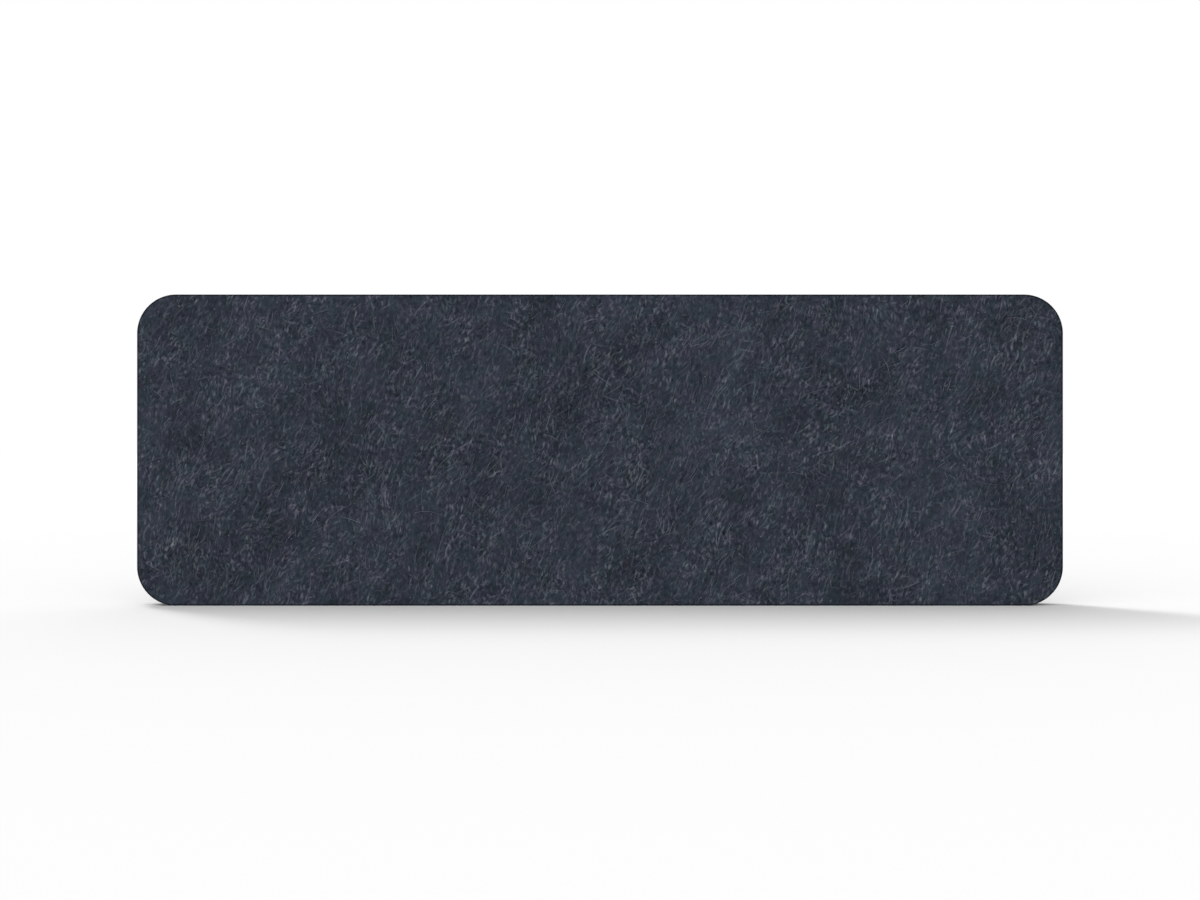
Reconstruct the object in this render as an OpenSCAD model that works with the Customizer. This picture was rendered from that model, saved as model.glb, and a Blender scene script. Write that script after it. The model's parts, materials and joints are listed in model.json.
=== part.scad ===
// Acoustic divider screen for a desk: two felt face sheets glued to a dowelled plywood frame,
// with a fibre batt in each bay, a felt band round the edge and threaded inserts underneath.
// The origin is the middle of the bottom edge. +X is to the right, -Y is the front and +Z is up.

/* [Screen] */
// Overall width
screen_w = 1190; // [900:10:1800]
// Overall height
screen_h = 400; // [320:10:700]
// Outer radius of the four corners
corner_r = 50; // [35:1:80]

/* [Felt] */
// Thickness of each face sheet
face_t = 6; // [3:0.5:9]
// Thickness of the band round the edge
band_t = 4; // [2:0.5:6]
// Gap between the two ends of the band
band_joint_gap = 0.4; // [0.2:0.1:1.5]
// Distance of that gap from the middle of the bottom edge
band_joint_x = 120; // [60:5:160]

/* [Frame] */
// Thickness of the plywood
ply_t = 18; // [16:1:24]
// Width of the rails, stiles and corner blocks
rail_w = 45; // [40:1:60]
// Straight run of a corner block past its rounded corner
corner_run = 30; // [28:1:50]
// Radius inside a corner block, left by the cutter
cutter_r = 8; // [4:1:15]
// Width of the two upright posts
post_w = 40; // [34:1:60]

/* [Dowels] */
// Diameter of a dowel
dowel_d = 8; // [6:1:10]
// Length of a dowel
dowel_l = 40; // [30:1:46]
// Distance between the two dowels of a joint
dowel_pitch = 20; // [14:1:22]
// Bevel at the ends of a dowel
dowel_bevel = 1; // [0.5:0.1:1.5]
// Depth of the glue flutes along a dowel
flute_depth = 0.5; // [0.2:0.1:0.8]
// Free space past each end of a dowel
dowel_end_gap = 0.5; // [0.3:0.1:1]
// Space round a dowel for the glue
glue_gap = 0.05; // [0.02:0.01:0.1]

/* [Threaded inserts] */
// Outside diameter of an insert over its ridges
insert_d = 10; // [9:0.5:12]
// Depth of the ridges that grip the wood
insert_ridge = 0.9; // [0.5:0.1:1.2]
// Distance from one ridge to the next
insert_ridge_pitch = 2.5; // [2:0.1:3]
// Length of an insert
insert_l = 15; // [10:1:20]
// Bore of an insert, the minor diameter of its M6 thread
insert_bore_d = 5; // [4:0.1:6]
// Width of the driver slot across the mouth of an insert
insert_slot_w = 1.2; // [0.8:0.1:1.6]
// Depth of the driver slot
insert_slot_depth = 2; // [1:0.1:3]
// Distance between the two inserts of a pair
insert_pitch = 64; // [32:2:96]
// Distance from each end of the screen to the middle of a pair
insert_inset = 200; // [180:5:240]
// Space round an insert in the rail
insert_gap = 0.05; // [0.02:0.01:0.1]
// Hole in the edge band under each insert
band_hole_d = 9; // [7:0.5:12]

/* [Absorber] */
// Gap between a batt and the frame round it
batt_gap = 0.3; // [0.2:0.1:0.8]

/* [Hidden] */
$fn = 64;

felt_colour = [0.20, 0.22, 0.26];
band_colour = [0.17, 0.19, 0.22];
ply_colour = "burlywood";
dowel_colour = "tan";
batt_colour = "gainsboro";
steel_colour = "silver";

// The two ways along an axis: left and right, or bottom and top
sides = [-1, 1];
flute_count = 8;
post_count = 2;
// How far a cut runs past the face that it opens
overrun = band_t / 2;

// The frame lies inside the band and between the face sheets. A corner block's arms are long
// enough to hold the dowels beside its rounded corner
frame_w = screen_w - 2 * band_t;
frame_h = screen_h - 2 * band_t;
frame_r = corner_r - band_t;
corner_leg = frame_r + corner_run;
rail_l = frame_w - 2 * corner_leg;
stile_l = frame_h - 2 * corner_leg;
// The bays between the stiles and the posts are equally wide
bay_h = frame_h - 2 * rail_w;
bay_w = (frame_w - 2 * rail_w - post_count * post_w) / (post_count + 1);
post_x = (bay_w + post_w) / 2;
bay_z = band_t + rail_w;

dowel_hole_d = dowel_d + 2 * glue_gap;
dowel_hole_l = dowel_l / 2 + dowel_end_gap;
insert_hole_d = insert_d + 2 * insert_gap;
insert_x = screen_w / 2 - insert_inset;
ridge_count = floor((insert_l - insert_slot_depth) / insert_ridge_pitch);

// Stands a flat outline up, front to back from y to y + t
module upright(y, t) {
    translate([0, y + t, 0])
        rotate([90, 0, 0])
            linear_extrude(t)
                children();
}

// Gives an outline the thickness and place of the plywood, between the face sheets
module in_core() {
    upright(-ply_t / 2, ply_t)
        children();
}

// What a rounded corner of radius r leaves of its square
module corner_waste(r) {
    difference() {
        square(r);
        translate([r, r])
            circle(r);
    }
}

// Rectangle from [0, 0], with a radius at its left corners and another at its right ones
module rounded_rectangle(w, h, left_r, right_r) {
    difference() {
        square([w, h]);
        if (left_r > 0) {
            corner_waste(left_r);
            translate([0, h])
                mirror([0, 1])
                    corner_waste(left_r);
        }
        if (right_r > 0) {
            translate([w, 0])
                mirror([1, 0])
                    corner_waste(right_r);
            translate([w, h])
                rotate(180)
                    corner_waste(right_r);
        }
    }
}

// The screen's own outline, drawn in from its edge by an inset
module screen_outline(inset) {
    w = screen_w - 2 * inset;
    translate([-w / 2, inset])
        rounded_rectangle(w, screen_h - 2 * inset, corner_r - inset, corner_r - inset);
}

module face_sheet(y) {
    color(felt_colour)
        upright(y, face_t)
            screen_outline(0);
}

module front_felt() {
    face_sheet(-ply_t / 2 - face_t);
}

module rear_felt() {
    face_sheet(ply_t / 2);
}

// One long strip, bent round the corners, whose ends meet underneath
module edge_band() {
    color(band_colour)
        difference() {
            in_core()
                difference() {
                    screen_outline(0);
                    screen_outline(band_t);
                    translate([band_joint_x - band_joint_gap / 2, -overrun])
                        square([band_joint_gap, band_t + 2 * overrun]);
                }
            for (side = sides)
                at_inserts(side)
                    translate([0, 0, -band_t - overrun])
                        cylinder(d = band_hole_d, h = band_t + 2 * overrun);
        }
}

// Places a thing at both dowels of a joint, with the joint's face at z = 0
module at_dowel_pair() {
    for (along = sides)
        translate([along * dowel_pitch / 2, 0, 0])
            children();
}

// The joint between a rail and its corner block, which the dowels cross along X
module at_rail_joint(side, level) {
    z = level < 0 ? band_t + rail_w / 2 : screen_h - band_t - rail_w / 2;
    translate([side * rail_l / 2, 0, z])
        rotate([0, 90, 0])
            children();
}

// The joint between a stile and its corner block, which the dowels cross along Z
module at_stile_joint(side, level) {
    x = side * (frame_w - rail_w) / 2;
    z = screen_h / 2 + level * stile_l / 2;
    translate([x, 0, z])
        children();
}

// The joint between a post and a rail, which the dowels cross along Z
module at_post_joint(side, level) {
    translate([side * post_x, 0, screen_h / 2 + level * bay_h / 2])
        children();
}

// Places a thing at the mouth of each insert of one side, on the lower face of the bottom rail
module at_inserts(side) {
    for (along = sides)
        translate([side * insert_x + along * insert_pitch / 2, 0, band_t])
            children();
}

// A hole for half of a dowel on each side of the joint's face, at z = 0
module dowel_hole() {
    translate([0, 0, -dowel_hole_l])
        cylinder(d = dowel_hole_d, h = 2 * dowel_hole_l);
}

// Half of a dowel's section, to its axis, with a bevel at each end
module dowel_profile() {
    r = dowel_d / 2;
    end = dowel_l / 2;
    polygon([
        [0, -end],
        [r - dowel_bevel, -end],
        [r, dowel_bevel - end],
        [r, end - dowel_bevel],
        [r - dowel_bevel, end],
        [0, end]
    ]);
}

// A hardwood dowel with V-shaped flutes for the glue, centred on the joint's face
module dowel() {
    difference() {
        rotate_extrude()
            dowel_profile();
        for (i = [0 : flute_count - 1])
            rotate(i * 360 / flute_count)
                translate([dowel_d / 2 - flute_depth, 0, -dowel_l / 2 - overrun])
                    rotate(-45)
                        cube([dowel_d, dowel_d, dowel_l + 2 * overrun]);
    }
}

// A rail runs between two corner blocks. The posts stand on it or hang from it
module rail(level) {
    z = level < 0 ? band_t : screen_h - band_t - rail_w;
    difference() {
        in_core()
            translate([-rail_l / 2, z])
                square([rail_l, rail_w]);
        for (side = sides) {
            at_rail_joint(side, level)
                at_dowel_pair()
                    dowel_hole();
            at_post_joint(side, level)
                at_dowel_pair()
                    dowel_hole();
        }
    }
}

module bottom_rail() {
    color(ply_colour)
        difference() {
            rail(-1);
            for (side = sides)
                at_inserts(side)
                    translate([0, 0, -overrun])
                        cylinder(d = insert_hole_d, h = insert_l + overrun);
        }
}

module top_rail() {
    color(ply_colour)
        rail(1);
}

module stile(side) {
    color(ply_colour)
        difference() {
            in_core()
                translate([side < 0 ? -frame_w / 2 : frame_w / 2 - rail_w, band_t + corner_leg])
                    square([rail_w, stile_l]);
            for (level = sides)
                at_stile_joint(side, level)
                    at_dowel_pair()
                        dowel_hole();
        }
}

module left_stile() {
    stile(-1);
}

module right_stile() {
    stile(1);
}

// Bottom left corner of the frame from [0, 0]: rounded outside, and inside by the cutter
module corner_outline() {
    difference() {
        union() {
            square([corner_leg, rail_w]);
            square([rail_w, corner_leg]);
            translate([rail_w, rail_w])
                corner_waste(cutter_r);
        }
        corner_waste(frame_r);
    }
}

// A corner block, whose two arms take the place of the rail's and the stile's ends
module corner_block(side, level) {
    color(ply_colour)
        difference() {
            in_core()
                translate([side * frame_w / 2, level < 0 ? band_t : screen_h - band_t])
                    mirror([side > 0 ? 1 : 0, 0])
                        mirror([0, level > 0 ? 1 : 0])
                            corner_outline();
            at_rail_joint(side, level)
                at_dowel_pair()
                    dowel_hole();
            at_stile_joint(side, level)
                at_dowel_pair()
                    dowel_hole();
        }
}

module bottom_left_corner() {
    corner_block(-1, -1);
}

module bottom_right_corner() {
    corner_block(1, -1);
}

module top_left_corner() {
    corner_block(-1, 1);
}

module top_right_corner() {
    corner_block(1, 1);
}

module post(side) {
    color(ply_colour)
        difference() {
            in_core()
                translate([side * post_x - post_w / 2, bay_z])
                    square([post_w, bay_h]);
            for (level = sides)
                at_post_joint(side, level)
                    at_dowel_pair()
                        dowel_hole();
        }
}

module left_post() {
    post(-1);
}

module right_post() {
    post(1);
}

// A fibre batt fills its bay. The outer bays have the cutter's radius at their outer corners
module batt(place) {
    batt_w = bay_w - 2 * batt_gap;
    batt_h = bay_h - 2 * batt_gap;
    batt_r = cutter_r - batt_gap;
    color(batt_colour)
        in_core()
            translate([place * (bay_w + post_w) - batt_w / 2, bay_z + batt_gap])
                rounded_rectangle(batt_w, batt_h, place < 0 ? batt_r : 0, place > 0 ? batt_r : 0);
}

module left_batt() {
    batt(-1);
}

module centre_batt() {
    batt(0);
}

module right_batt() {
    batt(1);
}

module corner_dowels() {
    color(dowel_colour)
        for (side = sides, level = sides) {
            at_rail_joint(side, level)
                at_dowel_pair()
                    dowel();
            at_stile_joint(side, level)
                at_dowel_pair()
                    dowel();
        }
}

module post_dowels() {
    color(dowel_colour)
        for (side = sides, level = sides)
            at_post_joint(side, level)
                at_dowel_pair()
                    dowel();
}

// Half of an insert's section: a collar at the mouth, then ridges that slope only one way, so
// that it goes in more easily than it comes out
module insert_profile() {
    bore = insert_bore_d / 2;
    crest = insert_d / 2;
    root = crest - insert_ridge;
    slope = insert_ridge_pitch - insert_ridge;
    ridges = [
        for (i = [0 : ridge_count - 1])
            let (z = insert_slot_depth + i * insert_ridge_pitch)
                each concat(i > 0 ? [[root, z]] : [], [[crest, z], [root, z + slope]])
    ];
    polygon(concat([[bore, 0], [crest, 0]], ridges, [[root, insert_l], [bore, insert_l]]));
}

// A steel insert with its mouth at z = 0, slotted there for the driver
module threaded_insert() {
    difference() {
        rotate_extrude()
            insert_profile();
        translate([-insert_slot_w / 2, -insert_d, -overrun])
            cube([insert_slot_w, 2 * insert_d, insert_slot_depth + overrun]);
    }
}

module left_inserts() {
    color(steel_colour)
        at_inserts(-1)
            threaded_insert();
}

module right_inserts() {
    color(steel_colour)
        at_inserts(1)
            threaded_insert();
}

front_felt();
rear_felt();
edge_band();
bottom_rail();
top_rail();
left_stile();
right_stile();
bottom_left_corner();
bottom_right_corner();
top_left_corner();
top_right_corner();
left_post();
right_post();
left_batt();
centre_batt();
right_batt();
corner_dowels();
post_dowels();
left_inserts();
right_inserts();
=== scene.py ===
import json
import math
import bpy
import numpy as np
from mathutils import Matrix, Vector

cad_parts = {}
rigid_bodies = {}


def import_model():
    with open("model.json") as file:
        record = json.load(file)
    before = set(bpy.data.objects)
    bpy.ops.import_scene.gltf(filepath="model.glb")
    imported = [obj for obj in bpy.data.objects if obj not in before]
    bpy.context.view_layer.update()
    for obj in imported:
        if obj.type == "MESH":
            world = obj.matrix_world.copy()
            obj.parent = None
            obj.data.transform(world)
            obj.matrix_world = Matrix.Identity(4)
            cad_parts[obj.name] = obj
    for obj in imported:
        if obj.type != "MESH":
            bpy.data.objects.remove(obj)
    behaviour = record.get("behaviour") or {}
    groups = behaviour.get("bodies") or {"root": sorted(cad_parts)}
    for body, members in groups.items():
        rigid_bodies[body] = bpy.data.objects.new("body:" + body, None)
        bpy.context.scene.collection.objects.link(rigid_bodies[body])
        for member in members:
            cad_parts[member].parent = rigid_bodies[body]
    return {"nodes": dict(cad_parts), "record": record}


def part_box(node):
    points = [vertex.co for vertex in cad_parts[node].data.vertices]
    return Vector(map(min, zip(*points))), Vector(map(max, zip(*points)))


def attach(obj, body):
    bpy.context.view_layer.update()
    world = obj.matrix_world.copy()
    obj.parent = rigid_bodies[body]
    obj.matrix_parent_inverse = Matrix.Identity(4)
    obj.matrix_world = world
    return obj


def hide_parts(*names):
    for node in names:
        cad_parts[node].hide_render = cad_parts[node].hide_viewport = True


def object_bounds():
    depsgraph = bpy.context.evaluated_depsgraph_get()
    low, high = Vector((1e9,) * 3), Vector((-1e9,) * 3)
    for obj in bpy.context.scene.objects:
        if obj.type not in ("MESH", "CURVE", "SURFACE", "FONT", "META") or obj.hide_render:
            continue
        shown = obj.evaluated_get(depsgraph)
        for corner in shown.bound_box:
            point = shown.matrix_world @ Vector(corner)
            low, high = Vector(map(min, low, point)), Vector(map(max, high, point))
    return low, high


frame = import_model()
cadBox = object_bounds()
scene = bpy.context.scene
mm = 0.001
screenWidth = cadBox[1][0] - cadBox[0][0]
screenHeight = cadBox[1][2] - cadBox[0][2]
frontFace = cadBox[0][1]  # y of the front face
cornerRadius = 50 * mm
noiseStart = 3  # moves places into the positive part of the noise
strandReach = 0.55  # length of a strand in a pattern each way, as a share of its cell's
strandCore = 0.25  # how far from its middle it starts to fade, as a share of its width
print("frame loaded:", len(frame["nodes"]), "nodes")

# The camera stands level and square on
photoView = {
    "distance": 1.705,  # from the front face
    "height": 0.2001,  # above the floor
    "framePixels": 1200,
    "screenPixels": 926.1,  # width of the screen among them
    "sensor": 36.0,
}


def makeCamera(v):
    # The lens is sensor x distance / width of the view
    data = bpy.data.cameras.new("photoCamera")
    data.sensor_width = v["sensor"]
    seenWidth = screenWidth * v["framePixels"] / v["screenPixels"]
    data.lens = v["sensor"] * v["distance"] / seenWidth
    data.clip_end = 80
    cam = bpy.data.objects.new("photoCamera", data)
    scene.collection.objects.link(cam)
    cam.location = (0, frontFace - v["distance"], v["height"])
    cam.rotation_euler = (math.radians(90), 0, 0)
    scene.camera = cam


makeCamera(photoView)


def newMesh(name, points, faces):
    # points is n x 3 in metres, faces a list of index arrays. A closed surface whose volume, the sum of
    # p0 . (p1 x p2) / 6 over its triangles, comes out negative is turned.
    points = np.ascontiguousarray(points, np.float64)
    fans = np.concatenate([f[:, [0, k, k + 1]] for f in faces for k in range(1, f.shape[1] - 1)])
    p0, p1, p2 = (points[fans[:, k]] for k in range(3))
    if (p0 * np.cross(p1, p2)).sum() < 0:
        faces = [f[:, ::-1] for f in faces]
    mesh = bpy.data.meshes.new(name)
    mesh.vertices.add(len(points))
    mesh.vertices.foreach_set("co", points.astype(np.float32).ravel())
    corners = np.concatenate([f.ravel() for f in faces]).astype(np.int32)
    totals = np.concatenate([np.full(len(f), f.shape[1]) for f in faces]).astype(np.int32)
    starts = (np.cumsum(totals) - totals).astype(np.int32)
    mesh.loops.add(len(corners))
    mesh.loops.foreach_set("vertex_index", corners)
    mesh.polygons.add(len(totals))
    mesh.polygons.foreach_set("loop_start", starts)
    mesh.polygons.foreach_set("loop_total", totals)
    mesh.polygons.foreach_set("use_smooth", np.ones(len(totals), bool))
    mesh.update(calc_edges=True)
    piece = bpy.data.objects.new(name, mesh)
    scene.collection.objects.link(piece)
    return piece


def addUv(piece, name, u, v):
    # u and v have a value for each corner of each face
    layer = piece.data.uv_layers.new(name=name)
    layer.data.foreach_set("uv", np.stack([u, v], -1).astype(np.float32).ravel())


def cornerPoints(piece):
    # Index of the point at each corner of each face
    index = np.empty(len(piece.data.loops), np.int32)
    piece.data.loops.foreach_get("vertex_index", index)
    return index


def gridQuads(rows, columns, first=0):
    # Quads join points i, i + 1, i + 1 + columns and i + columns of a row-by-row grid
    i = (np.arange(rows - 1)[:, None] * columns + np.arange(columns - 1)).ravel() + first
    return np.stack([i, i + 1, i + 1 + columns, i + columns], 1)


def ringQuads(ringA, ringB):
    # Quads between two closed rings of as many points each
    return np.stack([ringA, np.roll(ringA, -1), np.roll(ringB, -1), ringB], 1)


def usedOnly(points, faces):
    # Drops the points that no face uses, and also returns the old numbers of the others
    used, order = np.unique(np.concatenate([f.ravel() for f in faces]), return_inverse=True)
    parts = np.split(order, np.cumsum([f.size for f in faces])[:-1])
    return points[used], [part.reshape(f.shape) for part, f in zip(parts, faces)], used


def patchNoise(u, v, cell, seed):
    # Random heights from -1 to 1 at the corners of square cells, joined by 3t^2 - 2t^3 both ways
    lattice = np.random.default_rng(seed).uniform(-1, 1, (257, 257))
    a, b = u / cell, v / cell
    ia, ib = np.floor(a).astype(int), np.floor(b).astype(int)
    fa, fb = a - ia, b - ib
    fa, fb = fa * fa * (3 - 2 * fa), fb * fb * (3 - 2 * fb)
    ia, ib = ia % 256, ib % 256
    low = lattice[ia, ib] * (1 - fa) + lattice[ia + 1, ib] * fa
    high = lattice[ia, ib + 1] * (1 - fa) + lattice[ia + 1, ib + 1] * fa
    return low * (1 - fb) + high * fb


class Nodes:
    # A material's node tree, with one method for each kind of step
    def __init__(self, name):
        self.material = bpy.data.materials.new(name)
        self.material.use_nodes = True
        self.tree = self.material.node_tree
        self.tree.nodes.clear()

    def add(self, kind, inputs=None, **settings):
        # Inputs that are sockets are linked, and the others are set
        node = self.tree.nodes.new("ShaderNode" + kind)
        for key, value in settings.items():
            setattr(node, key, value)
        for key, value in (inputs or {}).items():
            if isinstance(value, bpy.types.NodeSocket):
                self.tree.links.new(value, node.inputs[key])
            else:
                node.inputs[key].default_value = value
        return node

    def math(self, operation, a, b=0.0, c=0.0, clamp=False):
        return self.add("Math", {0: a, 1: b, 2: c}, operation=operation, use_clamp=clamp).outputs[0]

    def times(self, a, b):
        return self.math("MULTIPLY", a, b)

    def timesPlus(self, a, b, c):
        return self.math("MULTIPLY_ADD", a, b, c)

    def vector(self, operation, a, b=(0, 0, 0)):
        return self.add("VectorMath", {0: a, 1: b}, operation=operation).outputs[0]

    def length(self, vector):
        return self.add("VectorMath", {0: vector}, operation="LENGTH").outputs["Value"]

    def parts(self, vector):
        return self.add("SeparateXYZ", {0: vector}).outputs

    def channels(self, colour):
        return self.add("SeparateColor", {0: colour}).outputs

    def joined(self, x, y, z=0.0):
        return self.add("CombineXYZ", {0: x, 1: y, 2: z}).outputs[0]

    def millimetres(self):
        # The place in the frame
        place = self.add("TexCoord").outputs["Object"]
        return self.vector("MULTIPLY", place, (1000, 1000, 1000))

    def onFace(self, way, shift):
        # Across and up on a face in the XZ plane, as seen from in front of it
        x, _, z = self.parts(self.millimetres())
        return self.joined(self.timesPlus(x, -way, shift), z)

    def turned(self, place, angle, stretch, shift=(0, 0, 0)):
        # Turned so that the first axis runs at the angle, then divided by stretch
        inputs = {"Vector": place, "Angle": -math.radians(angle)}
        spun = self.add("VectorRotate", inputs, rotation_type="Z_AXIS").outputs[0]
        return self.vector("ADD", self.vector("DIVIDE", spun, stretch), shift)

    def noise(self, place, scale=1.0, detail=2.0, roughness=0.5, output="Fac", dimensions="3D"):
        inputs = {"Vector": place, "Scale": scale, "Detail": detail, "Roughness": roughness}
        return self.add("TexNoise", inputs, noise_dimensions=dimensions).outputs[output]

    def grain(self, place, size, detail=2.0, roughness=0.5):
        # Noise with a size of its own along each axis
        return self.noise(self.vector("DIVIDE", place, size), 1.0, detail, roughness)

    def signed(self, value, amount):
        # amount (2 value - 1), which brings 0 to 1 about zero
        return self.timesPlus(value, 2 * amount, -amount)

    def between(self, value, low, high):
        # 0 at low and 1 at high, smooth between
        inputs = {"Value": value, "From Min": low, "From Max": high}
        return self.add("MapRange", inputs, interpolation_type="SMOOTHSTEP").outputs["Result"]

    def blend(self, share, a, b):
        # a + share (b - a)
        return self.add("Mix", {0: share, 6: a, 7: b}, data_type="RGBA").outputs[2]

    def strands(self, place, angle, length, width, thick, swing, shift):
        # One strand in each cell, length x width mm, of a Voronoi pattern turned to the angle. With dx and dy
        # from the cell's point, it leans and bends by dy + dx (s + k dx), s and k being of the cell's colour
        # and at most the two of swing. Also returns that colour's red.
        along = self.turned(place, angle, (length, width, 1), shift)
        cells = self.add("TexVoronoi", {"Vector": along, "Scale": 1.0}, voronoi_dimensions="2D")
        dx, dy, _ = self.parts(self.vector("SUBTRACT", along, cells.outputs["Position"]))
        red, green, blue = self.channels(cells.outputs["Color"])
        lean = self.signed(green, swing[0])
        bend = self.times(self.signed(blue, swing[1]), dx)
        aside = self.times(self.times(self.math("ADD", lean, bend), dx), length / width)
        across = self.times(self.math("ADD", dy, aside), width / thick)
        away = self.length(self.joined(across, self.times(dx, 1 / strandReach)))
        return self.between(away, 1.0, strandCore), red

    def bump(self, height, strength, distance):
        return self.add("Bump", {"Height": height, "Strength": strength, "Distance": distance}).outputs[0]

    def surface(self, inputs):
        shader = self.add("BsdfPrincipled", inputs)
        self.add("OutputMaterial", {"Surface": shader.outputs[0]})
        return self.material


# Felt: fibres of a few close greys, most of them leaning to the right, needled flat
feltLook = {
    "ground": (0.0168, 0.0212, 0.0305, 1),
    "pale": (0.152, 0.159, 0.190, 1),
    "mauve": (1.055, 0.988, 1.028, 1),  # tints of the ground, patch by patch
    "teal": (0.948, 1.012, 0.978, 1),
    "tints": (26, 0.38, 0.62),  # size in mm, noise at which teal starts to turn and is all mauve
    "darkest": 0.35,  # least shade of the ground
    "lean": 70,  # of the grain, above horizontal
    "wander": (140, 30),  # size of a swirl and how far it shifts the fibres, in mm
    "swing": (0.22, 0.62),  # of a fibre to the side by its lean and by its bend, as shares of its length
    "grain": [  # cell along the lean and across it in mm, amount
        (7.0, 3.0, 0.18),
        (18.0, 8.0, 0.15),
        (36.0, 18.0, 0.18),
        (80.0, 50.0, 0.29),
        (170.0, 120.0, 0.33),
    ],
    "fibres": [  # angle, length and width of a cell, width of a fibre in mm, amount, lighter or darker
        (62, 4.4, 0.95, 0.45, 0.25),
        (108, 4.0, 0.95, 0.45, 0.23),
        (20, 4.4, 1.10, 0.45, 0.21),
        (72, 9.2, 2.6, 2.07, 0.34),
        (96, 8.4, 2.6, 2.07, 0.33),
        (50, 8.4, 2.7, 2.07, 0.305),
        (14, 7.3, 2.8, 1.90, 0.235),
        (-42, 7.3, 3.0, 1.90, 0.205),
    ],
    "strands": [  # the same of the pale ones, with the power of their strength
        (73, 10.6, 3.6, 1.75, 0.405, 6.3),
        (92, 10.0, 3.6, 1.75, 0.385, 6.3),
        (52, 10.0, 3.8, 1.75, 0.36, 6.3),
        (116, 8.8, 4.4, 1.75, 0.285, 6.3),
        (14, 10.0, 4.6, 1.6, 0.285, 6.3),
        (70, 34, 6.0, 1.25, 0.40, 5.7),
        (32, 32, 10.0, 1.25, 0.36, 6.3),
        (-16, 30, 13.0, 1.25, 0.285, 6.6),
    ],
    "clumps": (66.0, 44.0, 0.34, 0.68),  # length and width in mm, noise at which they begin and are full
    "calm": (0.42, 0.66),  # share of the strands and of the fibres left between the clumps
    "balance": 0.44,  # share of the fibres that are darker than the ground
    "knots": (9.0, 1.3, 0.39, 0.5, 5),  # cell, radius and core in mm, strength and its power
    "paintedRim": (0.33, 1.3, 2.6),  # painted shade along the outline: how dark it is, and where it starts and ends in mm from the edge
    "sheen": (0.04, 0.5, (0.75, 0.80, 0.92, 1)),  # weight, roughness, tint
    "gloss": 0.06,
    "rough": 0.95,
    "bump": (0.30, 0.4 * mm),  # strength and height of the relief
    "raised": 3,  # how many rows of fibres stand out in it
}


def feltFinish(n, place, look, paintedRim=1.0):
    # Colour is ground x tint x (1 + tone) x painted rim shade, turned towards pale where a strand or a knot
    # lies. Tone adds noise of five sizes and lighter and darker fibres. Between the clumps, fewer fibres and
    # strands show.
    size, amount = look["wander"]
    red, green, _ = n.channels(n.noise(place, 1 / size, 1, output="Color", dimensions="2D"))
    shift = [n.signed(value, amount / 2) for value in (red, green)]
    bent = n.vector("ADD", place, n.joined(*shift))
    tone = -sum(row[2] for row in look["grain"])
    for k, (along, across, amount) in enumerate(look["grain"]):
        spot = n.turned(bent, look["lean"], (along, across, across), (13 * k, 7 * k, 0))
        tone = n.timesPlus(n.noise(spot, 1, 1, 0.6, dimensions="2D"), 2 * amount, tone)
    along, across, low, high = look["clumps"]
    patches = n.turned(place, look["lean"], (along, across, 1), (5, 9, 0))
    dense = n.between(n.noise(patches, 1, 2, 0.6, dimensions="2D"), low, high)
    strandShare, fibreShare = [n.timesPlus(dense, 1 - least, least) for least in look["calm"]]
    height, fibres = 0.0, 0.0
    for k, (*row, amount) in enumerate(look["fibres"]):
        where, red = n.strands(bent, *row, look["swing"], (23 * k + 5, 11 * k, 0))
        change = n.timesPlus(red, 2 * amount, -2 * amount * look["balance"])
        fibres = n.timesPlus(where, change, fibres)
        if k < look["raised"]:
            height = n.timesPlus(where, n.times(red, amount), height)
    tone = n.timesPlus(fibres, fibreShare, tone)
    light = 0.0
    for k, (*row, amount, power) in enumerate(look["strands"]):
        where, red = n.strands(bent, *row, look["swing"], (31 * k, 17 * k, 0))
        light = n.timesPlus(where, n.times(n.math("POWER", red, power), amount), light)
    light = n.times(light, strandShare)
    cell, radius, core, amount, power = look["knots"]
    spots = n.add("TexVoronoi", {"Vector": place, "Scale": 1 / cell}, voronoi_dimensions="2D").outputs
    knot = n.between(spots["Distance"], radius / cell, core / cell)
    rare = n.math("POWER", n.channels(spots["Color"])[0], power)
    # painted shade: near the outline the pale strands and knots are held back too
    light = n.times(n.timesPlus(knot, n.times(rare, amount), light), paintedRim)
    size, low, high = look["tints"]
    hue = n.between(n.noise(place, 1 / size, 2, 0.6, dimensions="2D"), low, high)
    tint = n.blend(hue, look["teal"], look["mauve"])
    # painted shade: the ground darkens near the outline
    shade = n.times(n.math("MAXIMUM", n.math("ADD", tone, 1.0), look["darkest"]), paintedRim)
    ground = n.vector("MULTIPLY", n.joined(shade, shade, shade), look["ground"][:3])
    ground = n.vector("MULTIPLY", tint, ground)
    colour = n.blend(light, ground, n.vector("MULTIPLY", tint, look["pale"][:3]))
    bump = n.bump(height, *look["bump"])
    sheen, matt, tint = look["sheen"]
    return n.surface({
        "Base Color": colour, "Normal": bump, "Roughness": look["rough"], "Specular IOR Level": look["gloss"],
        "Sheen Weight": sheen, "Sheen Roughness": matt, "Sheen Tint": tint,
    })


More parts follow.
